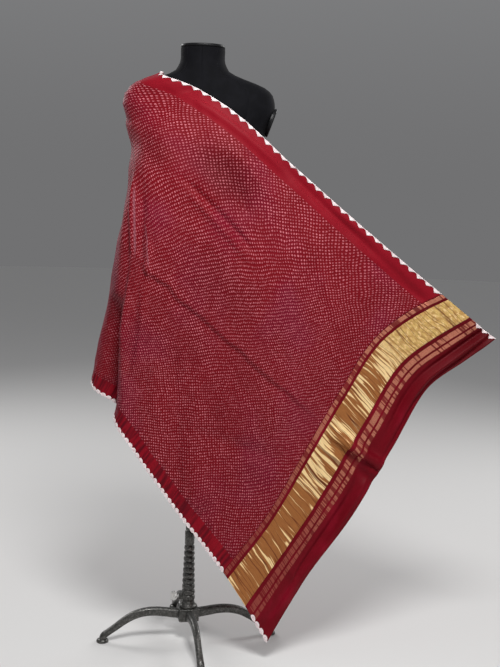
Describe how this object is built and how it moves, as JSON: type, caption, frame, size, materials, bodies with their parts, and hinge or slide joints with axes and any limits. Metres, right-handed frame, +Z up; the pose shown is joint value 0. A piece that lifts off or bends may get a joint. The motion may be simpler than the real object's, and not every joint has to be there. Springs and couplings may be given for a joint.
{
  "type": "dupatta stole on a limbless dress form and stand",
  "caption": "Long tie-dyed dupatta stole with a woven gold band and toothed edging, worn over one shoulder of a limbless dress form on a footed stand.",
  "frame": {"origin": "on the floor, at the middle of the bounding box's lower face; the stand's pole stands 0.2452 m to its left (-X)", "axes": "+Z up along the pole; the wearer's front faces -Y; +X runs from the covered left shoulder towards the drawn-out end of the cloth"},
  "size_m": [1.0302, 0.478, 1.5683],
  "materials": {
    "bandhani_red": "soft silk and cotton weave, tie-dyed with small pale dots",
    "plain_red": "soft silk and cotton weave, plain dyed",
    "zari_gold": "crumpled metallic weave",
    "edging_white": "matte toothed tape",
    "form_cloth": "matte stretch jersey over a rigid shell",
    "form_trim": "satin black",
    "cast_iron": "dark satin paint on cast iron",
    "bright_steel": "bright plated steel"
  },
  "bodies": {
    "dupatta_and_stand": {"end_panel": "plain_red", "zari_band": "zari_gold", "front_field": "bandhani_red", "shoulder_wrap": "bandhani_red", "rear_field": "bandhani_red", "upper_edging_end": "edging_white", "upper_edging_front": "edging_white", "upper_edging_wrap": "edging_white", "upper_edging_rear": "edging_white", "lower_edging_end": "edging_white", "lower_edging_front": "edging_white", "lower_edging_wrap": "edging_white", "lower_edging_rear": "edging_white", "form_body": "form_cloth", "neck_cap": "form_trim", "base_plate": "form_trim", "armhole_plate_left": "form_trim", "armhole_plate_right": "form_trim", "pole": "cast_iron", "column": "cast_iron", "hub": "cast_iron", "leg_1": "cast_iron", "leg_2": "cast_iron", "leg_3": "cast_iron", "leg_4": "cast_iron", "foot_1": "cast_iron", "foot_2": "cast_iron", "foot_3": "cast_iron", "foot_4": "cast_iron"},
    "clamp_screw": {"clamp_screw": "bright_steel"}
  },
  "joints": [
    {"name": "clamp_screw_turn", "type": "hinge", "parent": "dupatta_and_stand", "child": "clamp_screw", "pos_m": [-0.2752, 0, 0.1165], "axis": [-1, 0, 0], "continuous": true}
  ]
}
